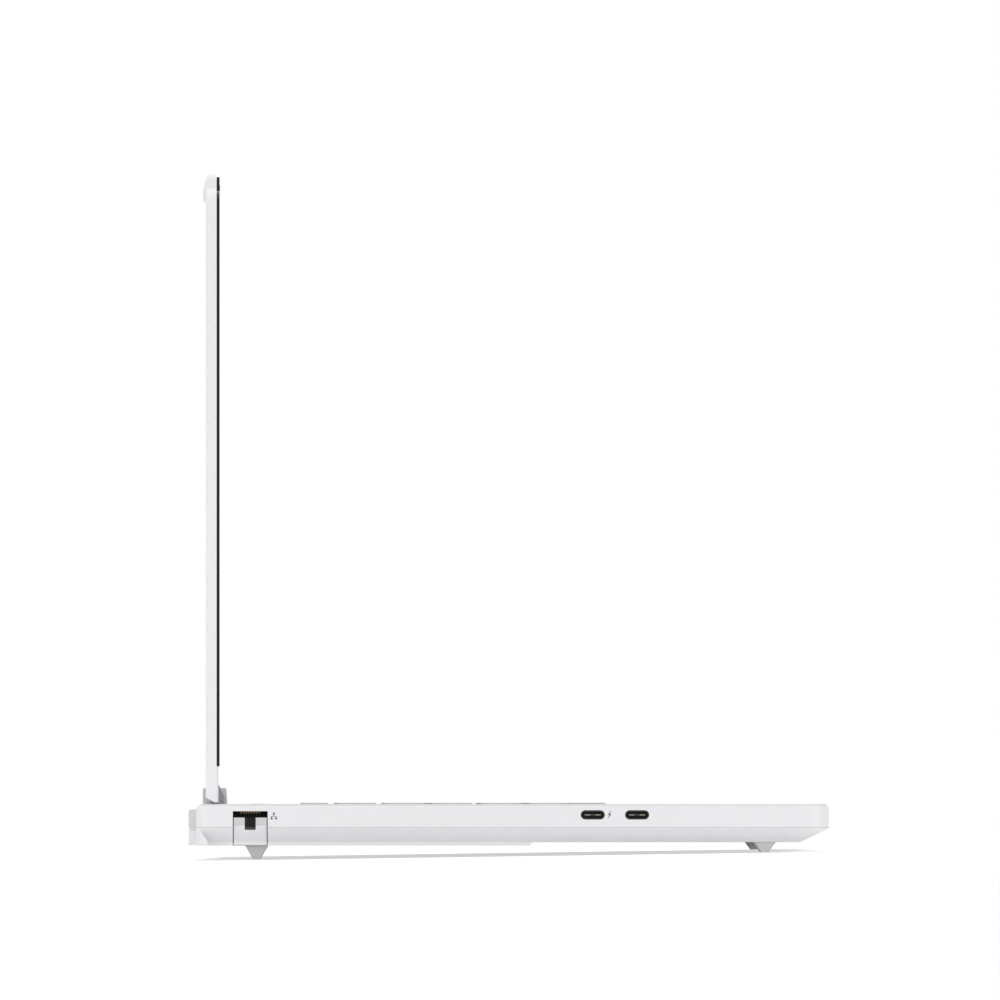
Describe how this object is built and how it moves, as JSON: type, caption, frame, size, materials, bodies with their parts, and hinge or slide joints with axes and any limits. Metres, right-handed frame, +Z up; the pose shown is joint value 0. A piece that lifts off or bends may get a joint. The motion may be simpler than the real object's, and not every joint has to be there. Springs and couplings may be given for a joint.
{
  "type": "laptop computer",
  "caption": "White laptop computer with a lid on two barrel hinges, keyboard with number pad, touchpad, side sockets with a drop-jaw network socket, and blower cooling inside.",
  "frame": {"origin": "on the table under the middle of the base, at the level of the feet", "axes": "+X to the user's right, +Y from the front edge to the back, +Z up"},
  "size_m": [0.356, 0.25, 0.2693],
  "materials": {
    "white_shell": "satin white paint on an aluminium sheet",
    "white_plastic": "fine-grained white plastic",
    "grey_trim": "pale grey moulded plastic",
    "hinge_grey": "satin pale grey plastic",
    "dark_steel": "pressed steel, dull grey",
    "black_glass": "black glass, polished",
    "black_plastic": "matt black plastic",
    "foot_rubber": "pale grey rubber",
    "key_plastic": "pale grey plastic with a matt top",
    "dome_silicone": "clear silicone",
    "touch_glass": "white satin glass",
    "button_metal": "white plastic",
    "socket_grey": "pale grey plastic",
    "contact_gold": "gold plated wire",
    "socket_black": "blackened steel sheet",
    "socket_steel": "folded steel sheet",
    "board": "green lacquered board",
    "copper": "copper",
    "fin_metal": "bare aluminium fins",
    "battery_wrap": "black film"
  },
  "bodies": {
    "base": {"top_case": "white_shell", "bottom_cover": "white_plastic", "rear_grille": "grey_trim", "left_hinge_cover": "hinge_grey", "right_hinge_cover": "hinge_grey", "left_hinge_bracket": "dark_steel", "right_hinge_bracket": "dark_steel", "jaw_pin": "dark_steel", "keyboard_plate": "dark_steel", "touchpad_bracket": "dark_steel", "board_standoffs": "dark_steel", "bottom_screws": "dark_steel", "left_fan_housing": "black_plastic", "right_fan_housing": "black_plastic", "speakers": "black_plastic", "small_socket_tongues": "black_plastic", "audio_socket": "black_plastic", "network_socket": "black_plastic", "front_feet": "foot_rubber", "rear_feet": "foot_rubber", "keyboard_frame": "key_plastic", "dome_sheet": "dome_silicone", "network_contacts": "contact_gold", "small_socket_shells": "socket_black", "flat_sockets": "socket_steel", "main_board": "board", "left_socket_board": "board", "right_socket_board": "board", "storage_card": "board", "memory_modules": "board", "wireless_card": "board", "processor_packages": "board", "cold_plate": "copper", "heat_pipes": "copper", "heat_sinks": "fin_metal", "battery_pack": "battery_wrap"},
    "lid": {"lid_cover": "white_shell", "chin_strip": "white_plastic", "front_glass": "black_glass", "display_panel": "black_plastic", "camera_module": "black_plastic", "left_hinge_arm": "dark_steel", "right_hinge_arm": "dark_steel"},
    "touchpad": {"touchpad": "touch_glass"},
    "power_button": {"power_button": "button_metal"},
    "network_jaw": {"network_jaw": "socket_grey"},
    "left_fan_rotor": {"left_fan_rotor": "black_plastic"},
    "right_fan_rotor": {"right_fan_rotor": "black_plastic"},
    "function_keys": {"function_keys": "key_plastic"},
    "number_keys": {"number_keys": "key_plastic"},
    "tab_row_keys": {"tab_row_keys": "key_plastic"},
    "caps_row_keys": {"caps_row_keys": "key_plastic"},
    "shift_row_keys": {"shift_row_keys": "key_plastic"},
    "control_row_keys": {"control_row_keys": "key_plastic"},
    "space_bar": {"space_bar": "key_plastic"},
    "enter_key": {"enter_key": "key_plastic"},
    "arrow_keys": {"arrow_keys": "key_plastic"},
    "number_pad_plus": {"number_pad_plus": "key_plastic"},
    "number_pad_enter": {"number_pad_enter": "key_plastic"}
  },
  "joints": [
    {"name": "lid_hinge", "type": "hinge", "parent": "base", "child": "lid", "pos_m": [0, 0.11351, 0.02369], "axis": [1, 0, 0], "range_deg": [-30, 90]},
    {"name": "function_key_press", "type": "slide", "parent": "base", "child": "function_keys", "axis": [0, 0.0142, -0.9999], "range_m": [0, 0.0013], "stiffness_N_per_m": 500, "springref_m": -0.001, "deforming": ["dome_sheet"]},
    {"name": "number_key_press", "type": "slide", "parent": "base", "child": "number_keys", "axis": [0, 0.0142, -0.9999], "range_m": [0, 0.0013], "stiffness_N_per_m": 500, "springref_m": -0.001, "deforming": ["dome_sheet"]},
    {"name": "tab_row_press", "type": "slide", "parent": "base", "child": "tab_row_keys", "axis": [0, 0.0142, -0.9999], "range_m": [0, 0.0013], "stiffness_N_per_m": 500, "springref_m": -0.001, "deforming": ["dome_sheet"]},
    {"name": "caps_row_press", "type": "slide", "parent": "base", "child": "caps_row_keys", "axis": [0, 0.0142, -0.9999], "range_m": [0, 0.0013], "stiffness_N_per_m": 500, "springref_m": -0.001, "deforming": ["dome_sheet"]},
    {"name": "shift_row_press", "type": "slide", "parent": "base", "child": "shift_row_keys", "axis": [0, 0.0142, -0.9999], "range_m": [0, 0.0013], "stiffness_N_per_m": 500, "springref_m": -0.001, "deforming": ["dome_sheet"]},
    {"name": "control_row_press", "type": "slide", "parent": "base", "child": "control_row_keys", "axis": [0, 0.0142, -0.9999], "range_m": [0, 0.0013], "stiffness_N_per_m": 500, "springref_m": -0.001, "deforming": ["dome_sheet"]},
    {"name": "space_bar_press", "type": "slide", "parent": "base", "child": "space_bar", "axis": [0, 0.0142, -0.9999], "range_m": [0, 0.0013], "stiffness_N_per_m": 500, "springref_m": -0.001, "deforming": ["dome_sheet"]},
    {"name": "enter_key_press", "type": "slide", "parent": "base", "child": "enter_key", "axis": [0, 0.0142, -0.9999], "range_m": [0, 0.0013], "stiffness_N_per_m": 500, "springref_m": -0.001, "deforming": ["dome_sheet"]},
    {"name": "arrow_key_press", "type": "slide", "parent": "base", "child": "arrow_keys", "axis": [0, 0.0142, -0.9999], "range_m": [0, 0.0013], "stiffness_N_per_m": 500, "springref_m": -0.001, "deforming": ["dome_sheet"]},
    {"name": "plus_key_press", "type": "slide", "parent": "base", "child": "number_pad_plus", "axis": [0, 0.0142, -0.9999], "range_m": [0, 0.0013], "stiffness_N_per_m": 500, "springref_m": -0.001, "deforming": ["dome_sheet"]},
    {"name": "pad_enter_press", "type": "slide", "parent": "base", "child": "number_pad_enter", "axis": [0, 0.0142, -0.9999], "range_m": [0, 0.0013], "stiffness_N_per_m": 500, "springref_m": -0.001, "deforming": ["dome_sheet"]},
    {"name": "touchpad_click", "type": "hinge", "parent": "base", "child": "touchpad", "pos_m": [-0.0365, -0.04403, 0.01795], "axis": [1, 0, 0], "range_deg": [0, 0.35], "stiffness_Nm_per_rad": 10, "springref_deg": -0.34},
    {"name": "power_press", "type": "slide", "parent": "base", "child": "power_button", "axis": [0, 0.0142, -0.9999], "range_m": [0, 0.0006], "stiffness_N_per_m": 800, "springref_m": -0.0008},
    {"name": "network_jaw_drop", "type": "hinge", "parent": "base", "child": "network_jaw", "pos_m": [-0.1636, 0.10092, 0.00851], "axis": [0, -0.9999, -0.0142], "range_deg": [0, 22], "stiffness_Nm_per_rad": 0.01, "springref_deg": -17.19},
    {"name": "left_fan_spin", "type": "hinge", "parent": "base", "child": "left_fan_rotor", "pos_m": [-0.098, 0.0651, 0.0102], "axis": [0, -0.0142, 0.9999], "continuous": true},
    {"name": "right_fan_spin", "type": "hinge", "parent": "base", "child": "right_fan_rotor", "pos_m": [0.098, 0.0651, 0.0102], "axis": [0, -0.0142, 0.9999], "continuous": true}
  ]
}
